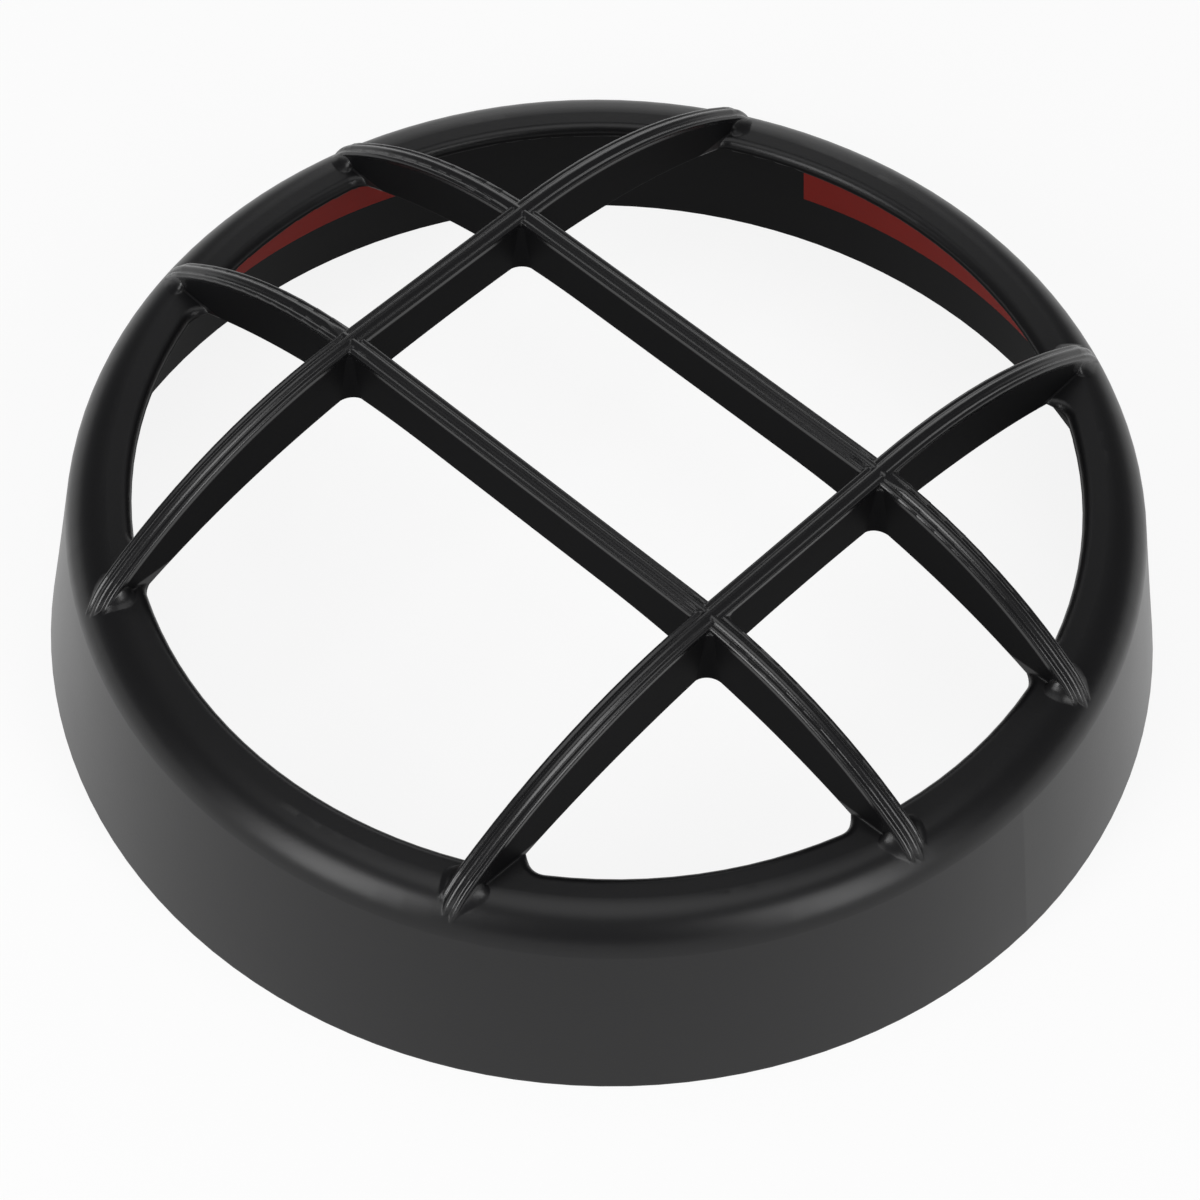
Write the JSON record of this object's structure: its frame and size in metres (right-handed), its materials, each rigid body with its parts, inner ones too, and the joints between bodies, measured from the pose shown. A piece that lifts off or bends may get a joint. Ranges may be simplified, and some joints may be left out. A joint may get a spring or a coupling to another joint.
{
  "type": "motorcycle headlight guard",
  "caption": "Round moulded headlight guard: a drafted cap with an open front crossed by arched, fluted bars, held by foam tape on its inner wall.",
  "frame": {"origin": "centre of the rear rim, in the plane that the guard rests on", "axes": "+Z along the lamp's axis to the front, +X along the longer pair of bars"},
  "size_m": [0.17, 0.17, 0.0484],
  "materials": {
    "guard": "satin black, fine moulded grain",
    "foam": "black closed-cell foam",
    "liner": "red release film"
  },
  "bodies": {
    "root": {"headlight_guard": "guard", "tape_foam_1": "foam", "tape_liner_1": "liner", "tape_foam_2": "foam", "tape_liner_2": "liner", "tape_foam_3": "foam", "tape_liner_3": "liner", "tape_foam_4": "foam", "tape_liner_4": "liner"}
  },
  "joints": []
}
